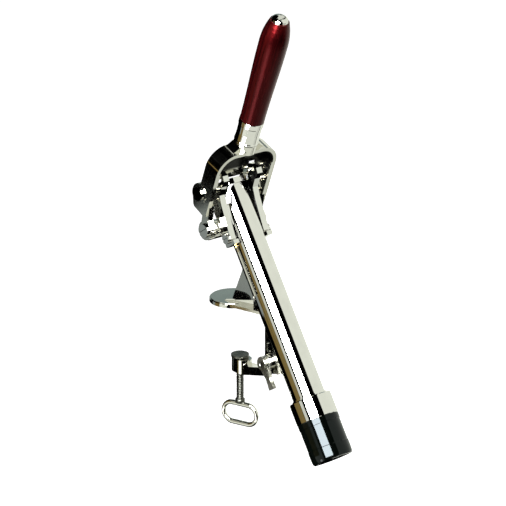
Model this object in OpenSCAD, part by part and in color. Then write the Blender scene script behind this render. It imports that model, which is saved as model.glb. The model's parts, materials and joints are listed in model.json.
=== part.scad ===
// Table-clamp lever corkscrew. Pulling the forked lever forward drives the worm down the
// barrel into the cork; raising it again draws the cork.
//
// Frame, in mm: the origin is the centre of the upper jaw's flat underside, +Z is up from the
// table top, -Y is the user's side and +X is to the right seen from the front.
// Inside barrel_frame() z runs up the barrel, y points to its rear and x stays sideways.
// Inside lever_frame() z runs along the handle and x is the pivot line.

/* [Barrel] */
// Lean of the barrel from vertical, in degrees
barrel_tilt = 34.4; // [28:0.2:38]
// Distance from the jaw centre forward to the collar's top
collar_forward = 129; // [120:1:140]
// Drop from the jaw face to the collar's top
collar_drop = 71.2; // [65:0.1:78]
// Barrel tube outside diameter
tube_d = 35; // [34:0.5:36]
// Barrel tube wall
tube_wall = 2; // [1.5:0.1:2.2]
// Height of the tube's front tongue above the collar
tube_top = 239; // [235:1:244]
// Collar outside diameter
collar_d = 45.6; // [43:0.1:48]
// Collar length
collar_len = 24.4; // [22:0.1:28]

/* [Bottle bell] */
// Bell outside diameter
bell_d = 45; // [43:0.5:48]
// Bell length below the collar
bell_len = 45; // [40:1:50]
// Bore that takes the bottle's neck
neck_bore_d = 31.4; // [30.5:0.1:33]

/* [Lever] */
// Angle of the handle forward of the barrel at rest, in degrees
lever_lean = 55.5; // [52:0.5:58]
// Pivot height above the collar
pivot_t = 203.7; // [200:0.1:206]
// Pivot distance behind the barrel axis
pivot_n = 16.8; // [16:0.1:17.5]
// Outside width of the fork
fork_w = 80; // [78:1:82]
// Fork leg thickness
leg_thick = 5.5; // [5:0.5:6]
// Fork leg width
leg_w = 16.4; // [15:0.1:18]
// Leg centre line above the pivot
leg_rise = 13.7; // [13:0.1:15]
// Drive pin distance along the handle from the pivot
pin_along = 35.5; // [34:0.1:37]
// Drive pin distance above the pivot
pin_rise = 20; // [19:0.1:21]
// Wood grip length
grip_len = 124; // [110:1:140]
// Largest grip diameter
grip_d = 30.6; // [28:0.1:32]

/* [Worm drive] */
// Lever swing from rest to fully down, in degrees
lever_swing = 92; // [80:1:92]
// Carriage travel per degree of lever swing
travel_per_deg = 0.665; // [0.65:0.005:0.67]
// Height of the cross studs above the collar
stud_t = 186; // [184:0.5:187]
// Spindle diameter
spindle_d = 10; // [9:0.5:11]
// Worm wire diameter
worm_wire_d = 3; // [2.6:0.1:3.2]
// Worm outside diameter
worm_d = 9.6; // [9:0.1:10]
// Worm length below the spindle
worm_len = 54; // [48:1:56]
// Advance of the worm in one turn
worm_lead = 10.2; // [9:0.1:11]

/* [Table clamp] */
// Upper jaw disc diameter
jaw_d = 50; // [46:1:54]
// Upper jaw disc thickness
jaw_thick = 5; // [4:0.5:6]
// Gap between the jaws at rest
jaw_gap = 58; // [56:1:60]
// Clamp screw diameter
screw_d = 8; // [7:0.5:8]
// Distance from the jaw centre forward to the clamp screw
screw_forward = 12.6; // [10:0.1:14]
// Width across the screw's oval ring
ring_w = 46; // [42:1:48]
// Turn of the clamp screw at rest, in degrees
ring_turn = -70; // [-90:1:90]

/* [Hidden] */
$fn = 96;
fine = 0.02; // radial clearance of a running fit
tube_r = tube_d / 2;
bore_r = tube_r - tube_wall;
tube_foot = -13.4;
slot_half = 3.8;
window_half = 9.5;
window_t = 198;
tongue_t = 214;
tongue_r = 10;
travel = travel_per_deg * lever_swing;

pin_r = 3.5;
pin_reach = norm([pin_along, pin_rise]);
pin_angle = lever_lean - atan2(pin_rise, pin_along);
cam_steps = 24;
cam_r = pin_r + 0.75;

leg_out = fork_w / 2;
leg_in = leg_out - leg_thick;
leg_lip = 3.3;
leg_low = leg_rise - leg_w / 2 - leg_lip;
leg_high = leg_rise + leg_w / 2;
arch_along = 71;
arch_half = 17.5;
arch_out = leg_out - arch_half;
arch_in = arch_out - 4;
arm_knee_y = -26;
arm_knee_z = -76.9;
arch_foot = 56;
wall_foot = 49.5;
wall_slot = 15.5;
hub_in = 30.5;
hub_out = 37.5;
ferrule_at = 100;
ferrule_len = 28;
grip_at = ferrule_at + ferrule_len;
cap_at = grip_at + grip_len;
cap_len = 5.8;
rod_r = 4;

ear_in = 22;
ear_out = hub_in - 0.6;
plate_in = 19;
plate_out = 26;
bridge_half = plate_in - 0.02;
bridge_t = 244.5;
pivot_r = 4;
pivot_boss_r = 10.5;
drive_boss_r = 11.6;
drive_boss_h = 0.8;

stud_r = 3.45;
carriage_foot = stud_t - 10;
carriage_h = 20;
journal_r = 4;
washer_h = 1.5;
spindle_foot = 38;
worm_tip_t = spindle_foot - worm_len - 4;
nut_foot = 46;
nut_h = 14;

seal_foot = -29.8;
seal_h = 5.8;
stop_foot = seal_foot + seal_h;
bell_top = -collar_len;
bell_foot = bell_top - bell_len;
spigot_r = 19.8;
seat_r = 17;
step_t = -14;

bar_back = -59;
web_foot = -60;
rib_half = 3.5;
stud_y = -65.4;
stud_z = -50.1;
stud_bolt_r = 3;
slot_rise = 19;
cheek_half = 6;
cheek_r = 8.2;
thumb_turn = -32;
arm_h = 9.6;
arm_slope = 0.285;
boss_foot = -76.4;
boss_top = -61.2;
boss_r = 9;
pad_h = 3;
ring_t = 5;
ring_z = -127.3;
ring_half_h = 14;

// ---------- frames and helpers ----------

module barrel_frame()
    translate([0, -collar_forward, -collar_drop]) rotate([-barrel_tilt, 0, 0]) children();

module lever_frame()
    barrel_frame() translate([0, pivot_n, pivot_t]) rotate([lever_lean, 0, 0]) children();

module both_sides() {
    children();
    mirror([1, 0, 0]) children();
}

// A rod along x from x0 to x1, centred on the given y and z.
module xrod(r, x0, x1, y = 0, z = 0, fn = $fn)
    translate([x0, y, z]) rotate([0, 90, 0]) cylinder(r = r, h = x1 - x0, $fn = fn);

// A rod along y from y0 to y1.
module yrod(r, y0, y1, x = 0, z = 0, fn = $fn)
    translate([x, y0, z]) rotate([-90, 0, 0]) cylinder(r = r, h = y1 - y0, $fn = fn);

// Extrudes a profile drawn in y and z along x.
module yz_plate(x0, x1)
    translate([x0, 0, 0]) rotate([90, 0, 90]) linear_extrude(x1 - x0) children();

// Extrudes a profile drawn in x and z along y.
module xz_plate(y0, y1)
    translate([0, y1, 0]) rotate([90, 0, 0]) linear_extrude(y1 - y0) children();

// Where the drive pin stands in the side plate for one lever angle, as [n, t].
function cam_point(a) = [
    pivot_n - pin_reach * sin(pin_angle + a),
    pivot_t + pin_reach * cos(pin_angle + a) + travel_per_deg * a];

// The pin runs forward to cam_turn degrees and then comes back along nearly the same path.
cam_turn = 90 - pin_angle;
cam_end = 9;

// A point on one edge of the cam slot, square to the pin's path.
function cam_edge(i, side) =
    let (a = i * (cam_turn - cam_end) / cam_steps, p = cam_point(a), q = cam_point(a + 0.5) - p)
    p + side * cam_r / norm(q) * [-q[1], q[0]];

// Furthest forward that the drive pin reaches in the plate.
cam_front = pivot_n - pin_reach;
cam_top = cam_point(40)[1];

// ---------- barrel ----------

module barrel_tube() color("silver") barrel_frame() difference() {
    translate([0, 0, tube_foot]) cylinder(r = tube_r, h = tube_top - tube_foot);
    translate([0, 0, tube_foot - 1]) cylinder(r = bore_r, h = tube_top - tube_foot + 2);
    // slots for the cross studs, open to the windows above
    translate([-tube_d, -slot_half, stud_t - travel - 5])
        cube([2 * tube_d, 2 * slot_half, tube_top]);
    translate([-tube_d, -window_half, window_t]) cube([2 * tube_d, 2 * window_half, tube_top]);
    // rounded tongue at the front
    xz_plate(-tube_d, 0) difference() {
        translate([-tube_d, tongue_t]) square([2 * tube_d, tube_top]);
        polygon([[-window_half - 4.6, tongue_t - 1], [window_half + 4.6, tongue_t - 1],
            [tongue_r * 0.7, tube_top - tongue_r * 0.4], [-tongue_r * 0.7, tube_top - tongue_r * 0.4]]);
        translate([0, tube_top - tongue_r]) circle(r = tongue_r);
    }
    // the rear wall ends lower
    translate([-tube_d, 0, tube_top - 14]) cube([2 * tube_d, tube_d, tube_top]);
    // blind taps for the bracket screws
    for (t = bracket_screw_t, s = [-1, 1]) yrod(2.04, tube_r - 1.8, tube_d, s * bracket_screw_x, t);
}

module lower_collar() color("silver") barrel_frame() rotate_extrude() difference() {
    polygon([[tube_r + fine, -collar_len], [collar_d / 2 - 0.6, -collar_len],
        [collar_d / 2, -collar_len + 0.6], [collar_d / 2, -1.6], [collar_d / 2 - 0.8, -0.8],
        [tube_r + 1.4, -0.8], [tube_r + 1.4, 0.9], [tube_r + fine, 0.9]]);
    translate([0, -collar_len - 1]) square([spigot_r + fine, 1 + collar_len + step_t]);
}

module bottle_bell() color("#151515") barrel_frame() rotate_extrude() polygon([
    [neck_bore_d / 2, seal_foot], [seat_r, seal_foot], [seat_r, step_t - 0.1],
    [spigot_r, step_t - 0.1], [spigot_r, bell_top - 0.02], [bell_d / 2 - 0.4, bell_top - 0.02],
    [bell_d / 2, bell_top - 0.5], [bell_d / 2, bell_top - 6], [bell_d / 2 - 0.5, bell_top - 6.4],
    [bell_d / 2 - 0.5, bell_foot + 15], [bell_d / 2 - 0.1, bell_foot + 14.4],
    [bell_d / 2 - 0.1, bell_foot + 8], [bell_d / 2 - 0.3, bell_foot + 3],
    [bell_d / 2 - 0.9, bell_foot + 0.8], [bell_d / 2 - 1.8, bell_foot], [neck_bore_d / 2 + 2, bell_foot],
    [neck_bore_d / 2, bell_foot + 3]]);

module neck_seal() color("#303030") barrel_frame() rotate_extrude() polygon([
    [10.5, seal_foot + 0.02], [seat_r - fine, seal_foot + 0.02],
    [seat_r - fine, stop_foot - 0.02], [10.5, stop_foot - 0.02]]);

module neck_stop() color("ivory") barrel_frame() rotate_extrude() polygon([
    [9.5, stop_foot], [seat_r - fine, stop_foot], [seat_r - fine, step_t - 0.2],
    [bore_r, step_t - 0.2], [bore_r, tube_foot - 0.02], [11, tube_foot - 0.02], [9.5, -18]]);

// ---------- worm drive ----------

module guide_nut() color("#c9a24a") barrel_frame() translate([0, 0, nut_foot]) difference() {
    cylinder(r = bore_r - fine, h = nut_h);
    translate([0, 0, -1]) cylinder(r = spindle_d / 2 + 0.05, h = nut_h + 2);
}

module nut_ring() color("#777777") barrel_frame() translate([0, 0, nut_foot + nut_h + fine])
    difference() {
        cylinder(r = bore_r - fine, h = 1.5);
        translate([0, 0, -1]) cylinder(r = bore_r - 2.2, h = 4);
        translate([0, -2.5, -1]) cube([tube_d, 5, 4]);
    }

module spindle() color("#8c8c90") barrel_frame() difference() {
    union() {
        translate([0, 0, spindle_foot])
            cylinder(r = spindle_d / 2, h = carriage_foot - washer_h - fine - spindle_foot);
        translate([0, 0, carriage_foot - 4])
            cylinder(r = journal_r, h = carriage_h + 2 * washer_h + 13);
    }
    translate([0, 0, spindle_foot - 1]) cylinder(r = 3 + fine, h = 11);
}

module worm() color("#b8b8bc") barrel_frame() {
    coil_r = (worm_d - worm_wire_d) / 2;
    translate([0, 0, worm_tip_t])
        linear_extrude(worm_len + 3.2, twist = -360 * (worm_len + 3.2) / worm_lead, slices = 96,
            $fn = 12)
            translate([coil_r, 0]) circle(d = worm_wire_d, $fn = 12);
    translate([0, 0, spindle_foot - 3.5]) cylinder(r = 3, h = 12);
    translate([0, 0, spindle_foot - 3.5]) cylinder(r = worm_d / 2, h = 3.4);
}

module carriage() color("#c9a24a") barrel_frame() difference() {
    translate([0, 0, carriage_foot]) cylinder(r = bore_r - 0.08, h = carriage_h);
    translate([0, 0, carriage_foot - 1]) cylinder(r = journal_r + 0.05, h = carriage_h + 2);
    xrod(stud_r + fine, -tube_r, tube_r, 0, stud_t);
}

module thrust_washers() color("#9a9aa0") barrel_frame()
    for (t = [carriage_foot - washer_h, carriage_foot + carriage_h + fine])
        translate([0, 0, t]) difference() {
            cylinder(r = 8, h = washer_h - fine);
            translate([0, 0, -1]) cylinder(r = journal_r + 0.05, h = washer_h + 2);
        }

module spindle_nut() color("#9a9aa0") barrel_frame()
    translate([0, 0, carriage_foot + carriage_h + washer_h + 2 * fine]) difference() {
        cylinder(r = 7.5, h = 7, $fn = 6);
        translate([0, 0, -1]) cylinder(r = journal_r + fine, h = 9);
    }

// Side plate: a stem from the stud up to a head whose cam slot takes the drive pin. The slot's
// curve makes the carriage move in step with the lever.
module crosshead_plate() barrel_frame() {
    foot_r = 5.9;
    difference() {
        yz_plate(plate_in, plate_out) {
            translate([0, stud_t]) circle(r = foot_r);
            translate([-9, stud_t - 8.4]) square([16, 4.4]);
            polygon([[-5.4, stud_t - 2], [5.4, stud_t - 2], [5.4, cam_point(0)[1] + 5],
                [0.6, cam_point(0)[1] + 8], [-7, cam_top + 7], [cam_front + 1, cam_top + 8],
                [cam_front - 5, cam_top + 5], [cam_front - 8, cam_top - 1],
                [cam_front - 7, cam_top - 7], [cam_front + 1, cam_top - 10.5],
                [-14.5, stud_t + 44], [-11.5, stud_t + 34]]);
        }
        yz_plate(plate_in - 1, plate_out + 1) {
            polygon([for (side = [1, -1], i = [0 : cam_steps])
                cam_edge(side > 0 ? i : cam_steps - i, side)]);
            for (a = [0, cam_turn - cam_end, cam_turn, (cam_turn + lever_swing) / 2, lever_swing])
                translate(cam_point(a)) circle(r = cam_r);
        }
        xrod(stud_r + fine, plate_in - 1, plate_out + 1, 0, stud_t);
    }
}

module crosshead_plate_left() color("gainsboro") mirror([1, 0, 0]) crosshead_plate();
module crosshead_plate_right() color("gainsboro") crosshead_plate();

// Saddle round the front of the tube that ties the two plates together.
module crosshead_bridge() color("silver") barrel_frame() intersection() {
    difference() {
        cylinder(r = tube_r + 3.6, h = tube_top + 20);
        translate([0, 0, -1]) cylinder(r = tube_r + 0.4, h = tube_top + 30);
    }
    xz_plate(-tube_d, 0) polygon([[-bridge_half, bridge_t - 16], [-13.5, bridge_t - 16],
        [-11, bridge_t - 6], [11, bridge_t - 6], [13.5, bridge_t - 16],
        [bridge_half, bridge_t - 16], [bridge_half, bridge_t], [-bridge_half, bridge_t]]);
}

module cross_studs() color("silver") barrel_frame() both_sides() difference() {
    union() {
        xrod(stud_r, 6, plate_out + 1, 0, stud_t);
        xrod(5.2, plate_out + 0.05, plate_out + 3, 0, stud_t);
    }
    translate([plate_out + 2, -6, stud_t - 0.7]) cube([4, 12, 1.4]);
}

// ---------- rear bracket ----------

bracket_screw_t = [pivot_t - 5, pivot_t + 5];
bracket_screw_x = 2.6;
block_back = 28;

module rear_bracket() color("silver") barrel_frame() difference() {
    union() {
        both_sides() xrod(9.3, ear_in, ear_out, pivot_n, pivot_t);
        translate([-ear_out, 18.6, pivot_t - 9.3]) cube([2 * ear_out, block_back - 18.6, 18.6]);
        translate([-7, 12, pivot_t - 9.3]) cube([14, 8, 18.6]);
    }
    translate([0, 0, pivot_t - 20]) cylinder(r = tube_r + fine, h = 40);
    xrod(pivot_r + fine, -fork_w, fork_w, pivot_n, pivot_t);
    // room for the pivot nuts
    both_sides() xrod(7.4, 15, ear_in, pivot_n, pivot_t);
    for (t = bracket_screw_t, s = [-1, 1])
        yrod(2.04, 10, block_back + 5, s * bracket_screw_x, t);
}

module bracket_screws() color("#9a9aa0") barrel_frame()
    for (t = bracket_screw_t, s = [-1, 1]) {
        yrod(2, tube_r - 1.6, block_back + 1, s * bracket_screw_x, t);
        yrod(2.5, block_back + 0.02, block_back + 2.2, s * bracket_screw_x, t);
    }

module pivot_bolts() color("silver") barrel_frame() both_sides() difference() {
    union() {
        xrod(pivot_r, 15.5, hub_out + 1, pivot_n, pivot_t);
        xrod(7.6, hub_out + 0.1, hub_out + 2.6, pivot_n, pivot_t);
    }
    translate([hub_out + 1.4, pivot_n - 9, pivot_t - 1]) cube([4, 18, 2]);
}

module pivot_nuts() color("#9a9aa0") barrel_frame() both_sides() difference() {
    xrod(7, 16.6, ear_in - 0.03, pivot_n, pivot_t, 6);
    xrod(pivot_r + fine, 10, ear_in + 1, pivot_n, pivot_t);
}

// ---------- lever ----------

// One leg seen from the side, x being the rise above the pivot and y the distance along.
module leg_profile() {
    translate([pin_rise, pin_along]) circle(r = drive_boss_r);
    polygon([[leg_low, 17.5], [leg_low, arch_along], [leg_high, arch_along],
        [leg_high, pin_along + 5], [pin_rise + 11, pin_along - 3], [pin_rise + 5, 19.4],
        [pin_rise + 2.6, 17.2], [leg_low + 2.2, 15.6]]);
}

// The hub on the pivot and the neck that carries it, set in from the leg.
module hub_profile() {
    circle(r = pivot_boss_r);
    polygon([[-6, 8], [-0.5, 13], [leg_low + 0.3, 30], [12, 30], [10, 15], [8.4, 5], [0, 0]]);
}

// The arch seen from the front: two rounded corners of radius r above straight sides.
module arch_shape(r, foot) {
    for (s = [-1, 1]) translate([s * arch_half, arch_along]) circle(r = r);
    translate([-arch_half, foot]) square([2 * arch_half, arch_along + r - foot]);
    translate([-arch_half - r, foot]) square([2 * (arch_half + r), arch_along - foot]);
}

module lever_yoke() color("gainsboro") lever_frame() difference() {
    union() {
        difference() {
            union() {
                xz_plate(leg_low, leg_high) intersection() {
                    arch_shape(arch_out, arch_foot);
                    translate([-fork_w, arch_foot]) square([2 * fork_w, 100]);
                }
                // socket that carries the handle, webbed down into the arch on both sides
                translate([0, leg_rise, arch_along + arch_in - 4])
                    cylinder(r = 12.9, h = ferrule_at - arch_along - arch_in + 4);
                xz_plate(leg_low + leg_lip + 1, leg_high - 1) both_sides() polygon([
                    [0, arch_along + arch_in], [28, arch_along + arch_in],
                    [25, arch_along + arch_out - 2], [18, ferrule_at - 5.6],
                    [14.6, ferrule_at - 3], [12.8, ferrule_at - 1], [0, ferrule_at - 1]]);
            }
            xz_plate(-40, 60) arch_shape(arch_in, 20);
        }
        both_sides() yz_plate(leg_in, leg_out) leg_profile();
        both_sides() yz_plate(hub_in, hub_out) hub_profile();
        both_sides() xrod(drive_boss_r - 0.6, leg_in + 1, leg_out + drive_boss_h, pin_rise, pin_along);
        // wall that closes the back of the arch, slotted for the two plates
        xz_plate(leg_high - 3.4, leg_high - 1) difference() {
            intersection() {
                arch_shape(arch_in + 0.5, wall_foot);
                translate([-fork_w, wall_foot]) square([2 * fork_w, 100]);
            }
            both_sides() translate([plate_in - 0.8, wall_foot - 1])
                square([plate_out - plate_in + 2.2, wall_slot + 1]);
        }
    }
    translate([0, leg_rise, arch_along + arch_in + 0.8])
        cylinder(r = rod_r + fine, h = 40);
    xrod(pivot_r + 0.05, -fork_w, fork_w, 0, 0);
    xrod(3 + fine, -fork_w, fork_w, pin_rise, pin_along);
}

drive_face = leg_out + drive_boss_h;

module drive_pins() color("silver") lever_frame() both_sides() difference() {
    union() {
        xrod(pin_r, plate_in + 0.1, leg_in - 0.02, pin_rise, pin_along);
        xrod(3, leg_in - 1, drive_face + 1, pin_rise, pin_along);
        xrod(7.6, drive_face + 0.02, drive_face + 2.2, pin_rise, pin_along);
    }
    translate([drive_face + 1.2, pin_rise - 9, pin_along - 0.9]) cube([4, 18, 1.8]);
}

module handle_ferrule() color("silver") lever_frame() translate([0, leg_rise, ferrule_at + fine])
    rotate_extrude() polygon([[rod_r + fine, 0], [12.9, 0], [13.3, 1.2], [13.3, 2.4], [12.8, 3.2],
        [12.6, 12], [12.9, 21], [13.4, 22], [13.4, ferrule_len - 0.5],
        [13, ferrule_len - 2 * fine], [rod_r + fine, ferrule_len - 2 * fine]]);

module handle_rod() color("#9a9aa0") lever_frame()
    translate([0, leg_rise, arch_along + arch_in + 1])
        cylinder(r = rod_r, h = cap_at + 2.6 - arch_along - arch_in - 1);

// Grip radius at a fraction of its length: a slow swell, then a quick taper to the tip.
function grip_r(f) = grip_d / 2 * (f < 0.78
    ? 0.853 + 0.147 * sin(90 * f / 0.78) * sin(90 * f / 0.78)
    : 1 - 0.315 * pow((f - 0.78) / 0.22, 2.1));

module wood_grip() color("#5b1218") lever_frame() translate([0, leg_rise, grip_at])
    rotate_extrude() polygon(concat([[rod_r + 0.05, 0]],
        [for (i = [0 : 28]) [grip_r(i / 28), i / 28 * grip_len]], [[rod_r + 0.05, grip_len]]));

module end_cap() color("silver") lever_frame() translate([0, leg_rise, cap_at + fine])
    rotate_extrude() polygon(concat([[rod_r + fine, 0], [9, 0], [9.1, 0.7]],
        [for (a = [0 : 9 : 90]) [8.8 * cos(a), 1.4 + (cap_len - 1.4) * sin(a)]],
        [[0, 3], [rod_r + fine, 3]]));

// ---------- table clamp ----------

saddle_half = 6;

module clamp_frame() color("gainsboro") difference() {
    union() {
        cylinder(d = jaw_d, h = jaw_thick - 1.2);
        translate([0, 0, jaw_thick - 1.3]) cylinder(d = jaw_d - 2.6, h = 1.3);
        // web from the disc up to the barrel and down to the slotted bar
        yz_plate(-rib_half, rib_half) polygon([[-4, jaw_thick - 1], [-10, 17.6], [-18.3, 35.6],
            [-24, 48], [-50, 48], [-112, -48], [-80, web_foot], [bar_back, web_foot], [bar_back, -6],
            [bar_back + 7, 1.5], [-20, 1.5]]);
        translate([0, 0, 1.5]) linear_extrude(jaw_thick - 1.8)
            polygon([[-19, -13], [19, -13], [5, -62], [-5, -62]]);
        // low ribs fanning over the disc
        both_sides() fan_rib();
        // saddle brazed to the barrel
        barrel_frame() translate([-saddle_half, 12, 24]) cube([2 * saddle_half, 7.4, 122]);
    }
    barrel_frame() translate([0, 0, -30]) cylinder(r = tube_r + fine, h = 250);
    // slot for the jaw stud
    translate([-20, stud_y - stud_bolt_r - 0.2, stud_z])
        cube([40, 2 * stud_bolt_r + 0.4, slot_rise]);
    for (z = [0, slot_rise]) xrod(stud_bolt_r + 0.2, -20, 20, stud_y, stud_z + z);
}

// One of the two ribs that brace the disc, running out and down from the web.
module fan_rib() translate([0, -46, jaw_thick - 1]) rotate([0, 0, -18])
    yz_plate(-1.4, 1.4) polygon([[0, 0], [0, 9], [5, 9], [43, 1.7], [44, 0]]);

// Underside of the lower jaw's arm, which rises towards the barrel.
function arm_foot(y) = arm_knee_z - arm_slope * (y - arm_knee_y);
boss_reach = 6;

module lower_jaw() color("gainsboro") difference() {
    union() {
        xrod(cheek_r, -cheek_half, cheek_half, stud_y, stud_z);
        yz_plate(-cheek_half, cheek_half) polygon([[stud_y - 6.5, stud_z], [stud_y - 6.5, -62],
            [-68, arm_foot(-68)], [-24, arm_foot(-24)], [-22, boss_foot], [-screw_forward, boss_foot],
            [-screw_forward, boss_foot + arm_h], [-36, arm_foot(-36) + arm_h],
            [-52, arm_foot(-52) + arm_h], [-54.4, -55], [-56.4, stud_z + 1], [stud_y, stud_z + 4]]);
        // boss for the screw, drawn out towards the arm
        for (y = [-screw_forward, -screw_forward - boss_reach])
            translate([0, y, boss_foot]) cylinder(r = boss_r, h = boss_top - boss_foot);
        translate([-boss_r, -screw_forward - boss_reach, boss_foot])
            cube([2 * boss_r, boss_reach, boss_top - boss_foot]);
    }
    translate([0, -screw_forward, boss_foot - 5]) cylinder(r = screw_d / 2 + 0.08, h = 30);
    // gap that straddles the web
    translate([-rib_half - 0.15, -90, -90]) cube([2 * rib_half + 0.3, 90 + bar_back + 0.2, 60]);
    xrod(stud_bolt_r + fine, -20, 20, stud_y, stud_z);
}

module jaw_stud() color("#9a9aa0") {
    xrod(stud_bolt_r, -13.6, cheek_half + 0.5, stud_y, stud_z);
    xrod(7, cheek_half + 0.03, cheek_half + 4.2, stud_y, stud_z, 6);
}

module stud_washer() color("#9a9aa0") difference() {
    xrod(8, -cheek_half - 1.2, -cheek_half - 0.04, stud_y, stud_z);
    xrod(stud_bolt_r + 0.1, -20, 20, stud_y, stud_z);
}

// Nut with a thumb lever that locks the lower jaw on its bar.
module thumb_lever() color("silver") translate([-cheek_half - 1.25, stud_y, stud_z])
    rotate([thumb_turn, 0, 0]) difference() {
        union() {
            xrod(8, -5.6, 0);
            xrod(6.6, -6.8, -5.5);
            yz_plate(-5, -1) polygon([[-7.6, -1], [-3.2, -17], [-4.4, -29], [4.4, -29],
                [3.2, -17], [7.6, -1]]);
        }
        xrod(stud_bolt_r + 0.05, -20, 5);
    }

module clamp_screw() color("#6f6f72") translate([0, -screw_forward, 0]) {
    neck_z = ring_z + ring_half_h - 1.4;
    tip_r = screw_d / 2 - 1.2;
    translate([0, 0, neck_z]) cylinder(d = screw_d, h = -jaw_gap - pad_h - neck_z - 0.05);
    translate([0, 0, neck_z]) cylinder(r = tip_r, h = -jaw_gap - 1.3 - neck_z);
    translate([0, 0, neck_z]) cylinder(r = screw_d / 2 + 1.2, h = 5);
}

module screw_ring() color("silver") translate([0, -screw_forward, ring_z]) rotate([0, 0, ring_turn])
    xz_plate(-ring_t / 2, ring_t / 2) difference() {
        hole_h = 8.4;
        shift = ring_w / 2 - ring_half_h;
        union() {
            for (s = [-1, 1]) translate([s * shift, 0]) circle(r = ring_half_h);
            translate([-shift, -ring_half_h]) square([2 * shift, 2 * ring_half_h]);
        }
        for (s = [-1, 1]) translate([s * (shift + 1.2), 0]) circle(r = hole_h);
        translate([-shift - 1.2, -hole_h]) square([2 * shift + 2.4, 2 * hole_h]);
        translate([-screw_d, ring_half_h - 1.42]) square([2 * screw_d, 10]);
    }

module pressure_pad() color("#444444") translate([0, -screw_forward, -jaw_gap - pad_h])
    difference() {
        union() {
            cylinder(r1 = 9, r2 = 9.8, h = 1);
            translate([0, 0, 0.9]) cylinder(r = 9.8, h = pad_h - 0.9);
        }
        translate([0, 0, -1]) cylinder(r = screw_d / 2 - 1.1, h = 2.9);
    }

// ---------- nodes ----------

barrel_tube();
lower_collar();
bottle_bell();
neck_seal();
neck_stop();
guide_nut();
nut_ring();
spindle();
worm();
carriage();
thrust_washers();
spindle_nut();
crosshead_plate_left();
crosshead_plate_right();
crosshead_bridge();
cross_studs();
rear_bracket();
bracket_screws();
pivot_bolts();
pivot_nuts();
lever_yoke();
drive_pins();
handle_ferrule();
handle_rod();
wood_grip();
end_cap();
clamp_frame();
lower_jaw();
jaw_stud();
stud_washer();
thumb_lever();
clamp_screw();
screw_ring();
pressure_pad();
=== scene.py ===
import json
import math

import bpy
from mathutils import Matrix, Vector


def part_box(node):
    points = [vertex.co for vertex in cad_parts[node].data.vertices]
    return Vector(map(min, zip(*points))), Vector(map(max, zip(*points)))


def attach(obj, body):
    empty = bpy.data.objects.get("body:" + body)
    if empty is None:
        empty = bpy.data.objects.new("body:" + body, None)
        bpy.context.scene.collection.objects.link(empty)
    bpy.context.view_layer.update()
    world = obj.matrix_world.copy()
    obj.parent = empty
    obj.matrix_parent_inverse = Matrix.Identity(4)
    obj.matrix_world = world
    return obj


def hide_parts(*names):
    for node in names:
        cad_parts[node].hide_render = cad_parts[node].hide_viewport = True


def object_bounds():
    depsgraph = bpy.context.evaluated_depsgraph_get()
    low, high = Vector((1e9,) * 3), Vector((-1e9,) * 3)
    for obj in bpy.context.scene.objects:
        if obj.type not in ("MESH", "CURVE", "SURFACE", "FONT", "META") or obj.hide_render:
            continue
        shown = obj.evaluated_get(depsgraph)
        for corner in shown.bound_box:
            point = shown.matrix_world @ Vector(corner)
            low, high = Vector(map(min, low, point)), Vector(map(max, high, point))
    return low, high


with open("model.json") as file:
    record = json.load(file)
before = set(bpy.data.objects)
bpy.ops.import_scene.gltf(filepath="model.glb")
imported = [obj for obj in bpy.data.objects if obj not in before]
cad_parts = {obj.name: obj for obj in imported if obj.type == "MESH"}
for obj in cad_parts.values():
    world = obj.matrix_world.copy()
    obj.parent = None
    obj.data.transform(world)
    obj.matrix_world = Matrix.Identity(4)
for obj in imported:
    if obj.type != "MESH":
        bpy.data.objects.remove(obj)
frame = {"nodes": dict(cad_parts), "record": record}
size_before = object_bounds()
scene = bpy.context.scene


# ---------------------------------------------------------------- directions and places
def centre(name):
    lo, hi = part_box(name)
    return (Vector(lo) + Vector(hi)) / 2


joints = {j["name"]: j for j in frame["record"]["behaviour"]["joints"]}
X = Vector((1, 0, 0))
Z = Vector((0, 0, 1))
T = -Vector(joints["carriage_slide"]["axis"]).normalized()    # up the barrel
N = T.cross(X).normalized()                                   # to the barrel's rear
if N.y < 0:
    N = -N
O = Vector(joints["worm_turn"]["pos_m"])                      # barrel axis at the collar's top
PIVOT = Vector(joints["lever_pull"]["pos_m"])
SCREW = Vector(joints["screw_turn"]["pos_m"])
HANDLE = (centre("end_cap") - centre("handle_ferrule")).normalized()
RISE = HANDLE.cross(X).normalized()                           # to the rear, square to the handle
if RISE.z < 0:
    RISE = -RISE


# ---------------------------------------------------------------- material helpers
def new_mat(name):
    mat = bpy.data.materials.new(name)
    mat.use_nodes = True
    nt = mat.node_tree
    nt.nodes.clear()
    out = nt.nodes.new("ShaderNodeOutputMaterial")
    shader = nt.nodes.new("ShaderNodeBsdfPrincipled")
    nt.links.new(shader.outputs[0], out.inputs[0])
    return mat, nt, shader


def node(nt, kind, **settings):
    n = nt.nodes.new("ShaderNode" + kind)
    for key, value in settings.items():
        setattr(n, key, value)
    return n


def coords(nt, scale=(1, 1, 1), turn=(0, 0, 0)):
    place = node(nt, "TexCoord")
    mapping = node(nt, "Mapping")
    mapping.inputs["Scale"].default_value = scale
    mapping.inputs["Rotation"].default_value = turn
    nt.links.new(place.outputs["Object"], mapping.inputs[0])
    return mapping.outputs[0]


def noise(nt, vec, scale, detail, rough=0.55, distortion=0.0):
    n = node(nt, "TexNoise")
    n.inputs["Scale"].default_value = scale
    n.inputs["Detail"].default_value = detail
    n.inputs["Roughness"].default_value = rough
    n.inputs["Distortion"].default_value = distortion
    nt.links.new(vec, n.inputs["Vector"])
    return n.outputs["Fac"]


def ramp(nt, fac, stops):
    n = node(nt, "ValToRGB")
    elements = n.color_ramp.elements
    while len(elements) < len(stops):
        elements.new(0.5)
    for element, (position, colour) in zip(elements, stops):
        element.position = position
        element.color = (*colour, 1)
    nt.links.new(fac, n.inputs[0])
    return n.outputs[0]


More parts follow.
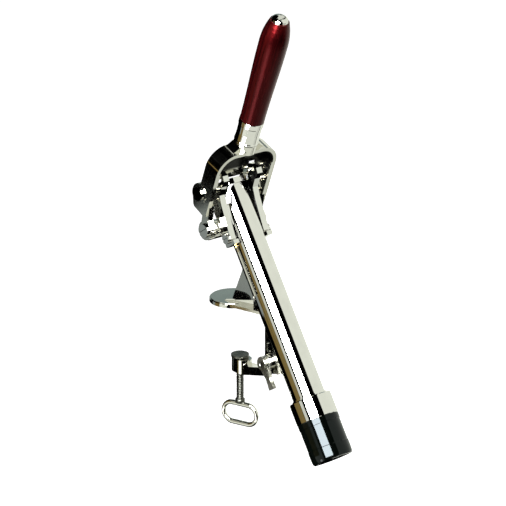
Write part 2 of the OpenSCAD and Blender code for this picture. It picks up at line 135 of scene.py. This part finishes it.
def span(nt, value, lo, hi, to_lo=0.0, to_hi=1.0):
    n = node(nt, "MapRange")
    for key, limit in zip(("From Min", "From Max", "To Min", "To Max"), (lo, hi, to_lo, to_hi)):
        n.inputs[key].default_value = limit
    nt.links.new(value, n.inputs[0])
    return n.outputs[0]


def times(nt, value, factor):
    n = node(nt, "Math", operation="MULTIPLY")
    nt.links.new(value, n.inputs[0])
    nt.links.new(factor, n.inputs[1])
    return n.outputs[0]


def multiply_colour(nt, share, colour, shade):
    n = node(nt, "MixRGB", blend_type="MULTIPLY")
    n.inputs[0].default_value = share
    nt.links.new(colour, n.inputs[1])
    nt.links.new(shade, n.inputs[2])
    return n.outputs[0]


def bump(nt, shader, height, strength, distance):
    n = node(nt, "Bump")
    n.inputs["Strength"].default_value = strength
    n.inputs["Distance"].default_value = distance
    nt.links.new(height, n.inputs["Height"])
    nt.links.new(n.outputs[0], shader.inputs["Normal"])


def paint_shade(nt, shader, painted_shade_mask, keep, rougher):
    """Painted shade: keep only a share of the colour, and roughen, where the shade mask is 1."""
    scale = node(nt, "VectorMath", operation="SCALE")
    nt.links.new(shader.inputs["Base Color"].links[0].from_socket, scale.inputs[0])
    nt.links.new(span(nt, painted_shade_mask, 0.0, 1.0, 1.0, keep), scale.inputs["Scale"])
    nt.links.new(scale.outputs[0], shader.inputs["Base Color"])
    add = node(nt, "Math", operation="ADD")
    nt.links.new(shader.inputs["Roughness"].links[0].from_socket, add.inputs[0])
    nt.links.new(span(nt, painted_shade_mask, 0.0, 1.0, 0.0, rougher), add.inputs[1])
    nt.links.new(add.outputs[0], shader.inputs["Roughness"])


# ---------------------------------------------------------------- materials
POLISHED = {"tint": (0.80, 0.79, 0.75), "rough": 0.035, "vary": 0.015, "grain": 900.0, "wear": 0.05}
AS_CAST = {"tint": (0.78, 0.765, 0.70), "rough": 0.085, "vary": 0.04, "grain": 420.0, "wear": 0.10}


def metal(name, tint, rough, vary, grain, wear, squeeze=(1, 1, 1)):
    """Metal whose tint and gloss change in broad patches, with a fine grain in its gloss."""
    mat, nt, shader = new_mat(name)
    shader.inputs["Metallic"].default_value = 1.0
    patches = noise(nt, coords(nt), 60.0, 3.0)
    fine = noise(nt, coords(nt, squeeze), grain, 6.0, 0.7)
    dull = tuple(c * (1 - wear) for c in tint)
    nt.links.new(ramp(nt, patches, [(0.3, dull), (0.62, tint)]), shader.inputs["Base Color"])
    roughness = times(nt, span(nt, patches, 0.3, 0.75, 0.6, 1.4),
                      span(nt, fine, 0.25, 0.8, max(rough - vary, 0.01), rough + vary))
    nt.links.new(roughness, shader.inputs["Roughness"])
    bump(nt, shader, fine, 0.08, 0.00004)
    return mat


def plastic(name, base, rough, specular, speck=0.004, tint=(1, 1, 1)):
    """Moulded plastic or rubber with a faint mottle."""
    mat, nt, shader = new_mat(name)
    mottle = noise(nt, coords(nt), 180.0, 5.0)
    light = tuple(min(1, c + speck) for c in base)
    nt.links.new(ramp(nt, mottle, [(0.3, base), (0.75, light)]), shader.inputs["Base Color"])
    roughness = span(nt, mottle, 0.25, 0.8, rough * 0.7, rough * 1.5)
    nt.links.new(roughness, shader.inputs["Roughness"])
    shader.inputs["Specular IOR Level"].default_value = specular
    shader.inputs["Specular Tint"].default_value = (*tint, 1)
    bump(nt, shader, noise(nt, coords(nt), 1500.0, 3.0), 0.05, 0.00004)
    return mat


def rosewood():
    """Dark red wood with bands and pores that run along the handle, under a red lacquer."""
    mat, nt, shader = new_mat("rosewood")
    to_handle = Z.rotation_difference(HANDLE).inverted().to_euler()
    grain = node(nt, "Mapping")
    grain.inputs["Scale"].default_value = (1, 1, 0.07)
    nt.links.new(coords(nt, turn=tuple(to_handle)), grain.inputs[0])
    along = grain.outputs[0]
    bands = noise(nt, along, 130.0, 5.0, 0.6, 0.6)
    pores = noise(nt, along, 900.0, 3.0, 0.6)
    broad = noise(nt, along, 38.0, 2.0, 0.5, 0.3)
    colour = ramp(nt, bands, [(0.28, (0.008, 0.0006, 0.0010)), (0.45, (0.035, 0.0018, 0.0025)),
                              (0.58, (0.075, 0.0035, 0.004)), (0.74, (0.13, 0.008, 0.007))])
    shade = ramp(nt, broad, [(0.35, (0.55, 0.5, 0.5)), (0.65, (1.0, 1.0, 1.0))])
    colour = multiply_colour(nt, 0.8, colour, shade)
    pore_shade = ramp(nt, pores, [(0.34, (0.25, 0.22, 0.22)), (0.46, (1, 1, 1))])
    colour = multiply_colour(nt, 0.7, colour, pore_shade)
    nt.links.new(colour, shader.inputs["Base Color"])
    nt.links.new(span(nt, bands, 0.3, 0.7, 0.22, 0.34), shader.inputs["Roughness"])
    shader.inputs["Specular IOR Level"].default_value = 0.45
    shader.inputs["Specular Tint"].default_value = (1.0, 0.05, 0.06, 1)
    shader.inputs["Coat Weight"].default_value = 0.02
    shader.inputs["Coat Roughness"].default_value = 0.12
    bump(nt, shader, pores, 0.15, 0.0001)
    return mat


def distance_along(nt, direction, start):
    """Distance in metres along a direction, from the plane through the point start."""
    place = node(nt, "TexCoord")
    dot = node(nt, "VectorMath", operation="DOT_PRODUCT")
    nt.links.new(place.outputs["Object"], dot.inputs[0])
    dot.inputs[1].default_value = direction
    shift = node(nt, "Math", operation="SUBTRACT")
    nt.links.new(dot.outputs["Value"], shift.inputs[0])
    shift.inputs[1].default_value = start.dot(direction)
    return shift.outputs[0]


def yoke_chrome():
    """Cast chrome, polished outside, with painted shade that darkens the hollow of the arch."""
    mat = metal("chrome_yoke", **AS_CAST)
    nt = mat.node_tree
    depth = distance_along(nt, RISE, PIVOT)
    along = distance_along(nt, HANDLE, PIVOT)
    across = node(nt, "Math", operation="ABSOLUTE")
    nt.links.new(distance_along(nt, X, Vector()), across.inputs[0])
    # each side of the hollow's painted shade, from where the dark begins to where it is full
    sides = (
        (depth, 0.0030, 0.0045),                    # behind the front lip
        (depth, 0.0205, 0.0203),                    # in front of the rear wall's outer face
        (across.outputs[0], 0.0364, 0.0360),        # between the side walls
        (along, 0.0902, 0.0898),                    # under the crown
        (along, 0.058, 0.062),                      # above the arch's feet
    )
    painted_shade_mask = span(nt, *sides[0])
    for side in sides[1:]:
        painted_shade_mask = times(nt, painted_shade_mask, span(nt, *side))
    # painted shade: the hollow keeps 3.5 per cent of its colour and is rougher
    paint_shade(nt, nt.nodes["Principled BSDF"], painted_shade_mask, 0.035, 0.16)
    return mat


def plate_chrome():
    """Polished edges and outer faces, with painted shade on the faces against the tube."""
    mat = metal("chrome_plate", **POLISHED)
    nt = mat.node_tree
    source = node(nt, "TexCoord")
    place = node(nt, "SeparateXYZ")
    facing = node(nt, "SeparateXYZ")
    nt.links.new(source.outputs["Object"], place.inputs[0])
    nt.links.new(source.outputs["Normal"], facing.inputs[0])
    # -1 on the left plate and 1 on the right one
    side = span(nt, place.outputs[0], -0.01, 0.01, -1.0, 1.0)
    outward = times(nt, side, facing.outputs[0])
    # painted shade on the faces that look in towards the tube
    paint_shade(nt, nt.nodes["Principled BSDF"], span(nt, outward, -0.6, -0.8), 0.02, 0.1)
    return mat


# tint, roughness, how far it varies, the grain's scale, wear, and how the grain is squeezed
CHROME = metal("chrome", **POLISHED)
CHROME_CAST = metal("chrome_cast", **AS_CAST)
SATIN = metal("chrome_satin", (0.62, 0.61, 0.54), 0.30, 0.08, 600.0, 0.15)
STEEL = metal("steel", (0.50, 0.50, 0.50), 0.26, 0.10, 1400.0, 0.2, (1, 1, 8))
DARK_STEEL = metal("dark_steel", (0.10, 0.10, 0.085), 0.34, 0.10, 1100.0, 0.3, (1, 1, 4))
BRASS = metal("brass", (0.70, 0.50, 0.22), 0.24, 0.10, 900.0, 0.2, (1, 1, 6))
BLACK = plastic("bell_black", (0.002, 0.0045, 0.003), 0.05, 0.25, tint=(0.86, 0.96, 1.0))
RUBBER = plastic("rubber", (0.018, 0.018, 0.018), 0.65, 0.3, 0.02)
NYLON = plastic("nylon", (0.66, 0.63, 0.55), 0.42, 0.4, 0.08)
ROSEWOOD = rosewood()
YOKE = yoke_chrome()
PLATE = plate_chrome()

# ---------------------------------------------------------------- the CAD nodes
SLOT_MATERIALS = {
    "chrome": CHROME, "bell_black": BLACK, "rosewood": ROSEWOOD, "steel": STEEL,
    "dark_steel": DARK_STEEL, "brass": BRASS, "rubber": RUBBER, "nylon": NYLON,
}
CAST_MATERIALS = {
    "lever_yoke": YOKE, "clamp_frame": CHROME_CAST, "lower_jaw": CHROME_CAST,
    "rear_bracket": CHROME_CAST, "screw_ring": CHROME_CAST,
}
OTHER_MATERIALS = {
    "thumb_lever": SATIN, "crosshead_plate_left": PLATE, "crosshead_plate_right": PLATE,
}
NODE_MATERIALS = CAST_MATERIALS | OTHER_MATERIALS
CAST_EDGE, MACHINED_EDGE = 0.0009, 0.00035

slot_of = {s["node"]: s["material_slot"] for s in frame["record"]["subparts"]}
for name, obj in frame["nodes"].items():
    obj.data.materials.clear()
    obj.data.materials.append(NODE_MATERIALS.get(name, SLOT_MATERIALS[slot_of[name]]))
    edge = obj.modifiers.new("edge", "BEVEL")
    edge.width = CAST_EDGE if name in CAST_MATERIALS else MACHINED_EDGE
    edge.segments = 3
    edge.limit_method = "ANGLE"
    edge.angle_limit = math.radians(40)
    edge.harden_normals = True


# ---------------------------------------------------------------- pieces finer than the CAD
def smooth_piece(name, verts, faces, mat, body):
    mesh = bpy.data.meshes.new(name)
    mesh.from_pydata([tuple(v) for v in verts], [], faces)
    mesh.shade_smooth()
    mesh.materials.append(mat)
    ob = bpy.data.objects.new(name, mesh)
    scene.collection.objects.link(ob)
    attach(ob, body)
    return ob


def rod_mesh(origin, axis, rows, radius):
    """A closed rod about an axis; rows are heights and radius(z, angle) gives its skin."""
    columns = 40
    u = axis.orthogonal().normalized()
    v = axis.cross(u)
    verts, faces = [], []
    for z in rows:
        for j in range(columns):
            a = 2 * math.pi * j / columns
            verts.append(origin + axis * z + (u * math.cos(a) + v * math.sin(a)) * radius(z, a))
    for i in range(len(rows) - 1):
        for j in range(columns):
            k = (j + 1) % columns
            faces.append((i * columns + j, i * columns + k,
                          (i + 1) * columns + k, (i + 1) * columns + j))
    faces.append(tuple(reversed(range(columns))))
    faces.append(tuple((len(rows) - 1) * columns + j for j in range(columns)))
    return verts, faces


def add_clamp_screw():
    """The clamp screw, with its real thread between the collar and the plain tip."""
    pitch, thread_r, core_r = 0.002, 0.00398, 0.00345
    collar_r, collar_h, chamfer = 0.0052, 0.005, 0.0005
    tip_r, tip_h, run_out, step = 0.0028, 0.00175, 0.0012, 0.0001
    root_share, flank_share = 0.1, 0.5
    rows_per_turn = 9
    lo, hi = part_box("clamp_screw")
    length = hi[2] - lo[2]

    def radius(z, a):
        if z < collar_h:
            return collar_r - (chamfer if min(z, collar_h - z) < 2 * step else 0)
        if z > length - tip_h:
            return tip_r
        phase = (z / pitch - a / (2 * math.pi)) % 1.0
        flank = max(0.0, min(1.0, (abs(2 * phase - 1) - root_share) / flank_share))
        fade = min(1.0, (length - tip_h - z) / run_out, (z - collar_h) / run_out)
        return core_r + (thread_r - core_r) * flank * fade

    rows = [0, 4 * step, collar_h - 4 * step, collar_h - step]
    z = collar_h + step
    while z < length - tip_h:
        rows.append(z)
        z += pitch / rows_per_turn
    rows += [length - tip_h + step, length]
    verts, faces = rod_mesh(Vector((SCREW.x, SCREW.y, lo[2])), Z, rows, radius)
    thread = smooth_piece("clamp_screw_thread", verts, faces, DARK_STEEL, "screw")
    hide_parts("clamp_screw")


def stadium(fraction, bend, half_straight):
    """Centreline point and outward direction (across, up) at a fraction of the way round."""
    arc, straight = math.pi * bend, 2 * half_straight
    d = fraction * 2 * (arc + straight)
    half, d = (1, d) if d < arc + straight else (-1, d - arc - straight)
    if d < straight:
        return half * (half_straight - d), half * bend, 0.0, half
    a = math.pi / 2 + (d - straight) / bend
    out = (half * math.cos(a), half * math.sin(a))
    return -half * half_straight + bend * out[0], bend * out[1], out[0], out[1]


def power(value, exponent):
    return math.copysign(abs(value) ** exponent, value)


def add_screw_ring():
    """The screw's ring, rounded in section as a forging is."""
    turn = math.radians(-70)
    bend, half_straight, half_thick = 0.0112, 0.0096, 0.00245
    end_half_w, extra_half_w, squareness = 0.00218, 0.0006, 0.8
    around, section = 96, 24
    wide = Vector((math.cos(turn), math.sin(turn), 0))
    thick = Vector((-math.sin(turn), math.cos(turn), 0))
    lo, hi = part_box("screw_ring")
    middle = Vector((SCREW.x, SCREW.y, (lo[2] + hi[2]) / 2))
    verts, faces = [], []
    for i in range(around):
        mid_x, mid_z, out_x, out_z = stadium(i / around, bend, half_straight)
        half_w = end_half_w + extra_half_w * out_z * out_z
        for j in range(section):
            a = 2 * math.pi * j / section
            w = half_w * power(math.cos(a), squareness)
            t = half_thick * power(math.sin(a), squareness)
            verts.append(middle + wide * (mid_x + out_x * w) + Z * (mid_z + out_z * w) + thick * t)
            k, m = (i + 1) % around, (j + 1) % section
            faces.append((i * section + j, i * section + m, k * section + m, k * section + j))
    ring = smooth_piece("screw_ring_round", verts, faces, CHROME_CAST, "screw")
    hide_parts("screw_ring")


def ends(name):
    """A node's lowest and highest points along the barrel, from the collar's top."""
    along = [(v.co - O).dot(T) for v in frame["nodes"][name].data.vertices]
    return min(along), max(along)


def add_worm_coil():
    """The worm's coil of round wire, which thins to a point at the tip."""
    lead, coil_r, wire_r = 0.0102, 0.0033, 0.0015
    point, taper, blunt, curve, spread = 0.0004, 0.010, 0.10, 0.8, 0.7
    end_gap = 0.0015
    steps_per_turn, section = 28, 12
    tip = ends("worm")[0]
    bottom, top = tip + point, ends("spindle")[0] - end_gap
    count = int((top - bottom) / lead * steps_per_turn)
    verts, faces = [], []
    for i in range(count + 1):
        height = bottom + (top - bottom) * i / count
        wire = wire_r * min(1.0, blunt + (1 - blunt) * ((height - bottom) / taper) ** curve)
        reach = coil_r + (wire_r - wire) * spread
        a = 2 * math.pi * (height - tip) / lead
        out = X * math.cos(a) + N * math.sin(a)
        forward = (N * math.cos(a) - X * math.sin(a)) * reach * 2 * math.pi / lead + T
        second = forward.normalized().cross(out).normalized()
        for j in range(section):
            b = 2 * math.pi * j / section
            skin = (out * math.cos(b) + second * math.sin(b)) * wire
            verts.append(O + out * reach + T * height + skin)
        if i:
            for j in range(section):
                k = (j + 1) % section
                faces.append(((i - 1) * section + j, (i - 1) * section + k,
                              i * section + k, i * section + j))
    faces.append(tuple(reversed(range(section))))
    faces.append(tuple(count * section + j for j in range(section)))
    coil = smooth_piece("worm_coil", verts, faces, STEEL, "worm_spindle")
    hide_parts("worm")


def add_worm_hub():
    """The hub and shank that join the coil to the spindle."""
    hub_r, hub_h, chamfer, shank_r = 0.0048, 0.0034, 0.0003, 0.003
    below_spindle, tolerance = 0.0035, 0.00005
    spindle_end = ends("spindle")[0]

    def radius(z, a):
        if hub_h - z < tolerance:
            return shank_r
        return hub_r - (chamfer if min(z, hub_h - z) < chamfer / 2 else 0)

    rows = [0, chamfer, hub_h - chamfer, hub_h - chamfer / 3, hub_h,
            ends("worm")[1] - spindle_end + hub_h]
    verts, faces = rod_mesh(O + T * (spindle_end - below_spindle), T, rows, radius)
    hub = smooth_piece("worm_hub", verts, faces, STEEL, "worm_spindle")
    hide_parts("worm")


add_clamp_screw()
add_screw_ring()
add_worm_coil()
add_worm_hub()


# ---------------------------------------------------------------- floor, backdrop and world
def pale_paper():
    """White paper with a glow of its own, which keeps it pale in a dim world."""
    mat, nt, shader = new_mat("floor_paper")
    white = (0.92, 0.92, 0.92)
    whiter = tuple(c * 1.02 for c in white)
    mottle = noise(nt, coords(nt), 6.0, 3.0)
    nt.links.new(ramp(nt, mottle, [(0.3, white), (0.7, whiter)]), shader.inputs["Base Color"])
    shader.inputs["Roughness"].default_value = 0.9
    shader.inputs["Emission Color"].default_value = (1, 1, 1, 1)
    shader.inputs["Emission Strength"].default_value = 0.9
    return mat


scene.view_settings.view_transform = "Standard"
low_corner, high_corner = size_before
FLOOR_SIZE, FLOOR_DROP, BACKDROP_R = 14, 0.05, 20
bpy.ops.mesh.primitive_plane_add(size=FLOOR_SIZE, location=(0, 0, low_corner.z - FLOOR_DROP))
floor = bpy.context.object
floor.name = "floor"
bpy.ops.mesh.primitive_uv_sphere_add(segments=64, ring_count=32, radius=BACKDROP_R)
backdrop = bpy.context.object
backdrop.name = "backdrop"
paper = pale_paper()
for sheet in (floor, backdrop):
    sheet.data.materials.append(paper)
    sheet.visible_glossy = False
    sheet.visible_diffuse = False
backdrop.visible_shadow = False

# a dim white world fills the shadows and leaves the chrome's reflections to the panels
world = bpy.data.worlds.new("world")
scene.world = world
world.use_nodes = True
sky = world.node_tree.nodes["Background"].inputs
sky["Color"].default_value = (1, 1, 1, 1)
sky["Strength"].default_value = 0.1
world.cycles_visibility.glossy = False

# ---------------------------------------------------------------- camera at the photograph's angle
AZIMUTH, ELEVATION = math.radians(-39), math.radians(20)
BACK = Vector((math.sin(AZIMUTH) * math.cos(ELEVATION),
               -math.cos(AZIMUTH) * math.cos(ELEVATION), math.sin(ELEVATION)))
RIGHT = Vector((math.cos(AZIMUTH), math.sin(AZIMUTH), 0))
UP = BACK.cross(RIGHT).normalized()
PICTURE_WIDTH = 0.5313        # metres across the picture at the object
DISTANCE = 3.2
SENSOR = 36
# where the barrel's axis at the collar's top stands in the picture, from its middle, in widths
AIM_RIGHT, AIM_UP = 0.1116, -0.2856
lens = bpy.data.cameras.new("camera")
lens.sensor_width = SENSOR
lens.lens = SENSOR * DISTANCE / PICTURE_WIDTH
lens.clip_start = 0.05
lens.clip_end = 50
camera = bpy.data.objects.new("camera", lens)
scene.collection.objects.link(camera)
picture_middle = O - RIGHT * AIM_RIGHT * PICTURE_WIDTH - UP * AIM_UP * PICTURE_WIDTH
camera.location = picture_middle + BACK * DISTANCE
camera.rotation_mode = "QUATERNION"
camera.rotation_quaternion = (-BACK).to_track_quat("-Z", "Y")
bpy.context.scene.camera = camera


# ---------------------------------------------------------------- studio panels
def emission(name, colour, strength):
    mat = bpy.data.materials.new(name)
    mat.use_nodes = True
    nt = mat.node_tree
    nt.nodes.clear()
    out = nt.nodes.new("ShaderNodeOutputMaterial")
    glow = nt.nodes.new("ShaderNodeEmission")
    glow.inputs["Color"].default_value = (*colour, 1)
    glow.inputs["Strength"].default_value = strength
    nt.links.new(glow.outputs[0], out.inputs[0])
    return mat


def panel(name, axis, middle, deg0, deg1, low, high, colour, strength, radius=1.3):
    """A reflector that only reflections see: part of a cylinder about an axis, between two
    angles from the camera's side, positive to the right, and two heights along the axis."""
    front = (BACK - axis * BACK.dot(axis)).normalized()
    side = axis.cross(front)
    steps = max(2, int(abs(deg1 - deg0) / 6))
    verts, faces = [], []
    for i in range(steps + 1):
        a = math.radians(deg0 + (deg1 - deg0) * i / steps)
        outward = front * math.cos(a) + side * math.sin(a)
        verts += [middle + outward * radius + axis * low, middle + outward * radius + axis * high]
        if i:
            faces.append((2 * i - 2, 2 * i, 2 * i + 1, 2 * i - 1))
    mesh = bpy.data.meshes.new(name)
    mesh.from_pydata([tuple(v) for v in verts], [], faces)
    mesh.materials.append(emission(name, colour, strength))
    ob = bpy.data.objects.new(name, mesh)
    scene.collection.objects.link(ob)
    ob.visible_camera = False
    ob.visible_diffuse = False
    ob.visible_shadow = False


CREAM, GOLD = (0.96, 1.0, 0.90), (0.80, 0.58, 0.20)
BLUISH, ROSY = (0.95, 0.98, 1.0), (1.0, 0.96, 0.96)
SEA_GREEN, PALE_GREEN = (0.72, 0.90, 0.88), (0.85, 0.95, 0.93)
BARREL_MID = O + T * 0.12
FERRULE_MID = centre("handle_ferrule")
# round the barrel: a bright window, a cream wall to the right, and cream and dim gold to the left
panel("panel_window", T, BARREL_MID, -33, 9, -0.3, 0.6, BLUISH, 42.0)
panel("panel_wall_right", T, BARREL_MID, 42, 180, -1.0, 1.0, CREAM, 0.92)
panel("panel_wall_left", T, BARREL_MID, -62, -46, -0.3, 0.7, CREAM, 0.75)
panel("panel_gold", T, BARREL_MID, -84, -64, -0.15, 0.7, GOLD, 0.28)
panel("panel_side", T, BARREL_MID, -120, -97, 0.12, 0.30, PALE_GREEN, 0.30)
# far down for the faces that look down, and far up for those that look up
panel("panel_low_left", T, BARREL_MID, -98, -50, -0.9, -0.17, CREAM, 0.95)
panel("panel_high", T, BARREL_MID, 130, 200, 1.02, 2.6, SEA_GREEN, 0.34)
panel("panel_rim", T, BARREL_MID, 122, 162, -2.3, -1.2, CREAM, 0.7)
# round the handle: cream and gold for the ferrule, and a bright one for the wood
panel("panel_handle", HANDLE, FERRULE_MID, -24, 80, -1.15, -0.72, CREAM, 0.85)
panel("panel_handle_gold", HANDLE, FERRULE_MID, -82, -40, -1.15, -0.72, GOLD, 0.25)
panel("panel_wood", HANDLE, FERRULE_MID, -46, -6, -0.9, -0.66, ROSY, 7.0, 1.25)
# far up on the right, for the other faces that look up
panel("panel_top", T, BARREL_MID, 40, 128, 1.2, 2.7, CREAM, 0.8)

# a soft key from the upper left for the wood
KEY_W, KEY_H, KEY_POWER = 0.9, 1.2, 26
KEY_BACK, KEY_LEFT, KEY_UP = 1.2, 1.1, 0.5      # from the object's middle, as the camera sees it
key = bpy.data.lights.new("key", "AREA")
key.shape = "RECTANGLE"
key.size = KEY_W
key.size_y = KEY_H
key.energy = KEY_POWER
key_light = bpy.data.objects.new("key", key)
scene.collection.objects.link(key_light)
object_middle = (low_corner + high_corner) / 2
key_light.location = object_middle + BACK * KEY_BACK - RIGHT * KEY_LEFT + UP * KEY_UP
key_light.rotation_euler = (object_middle - key_light.location).to_track_quat("-Z", "Y").to_euler()
key_light.visible_glossy = False
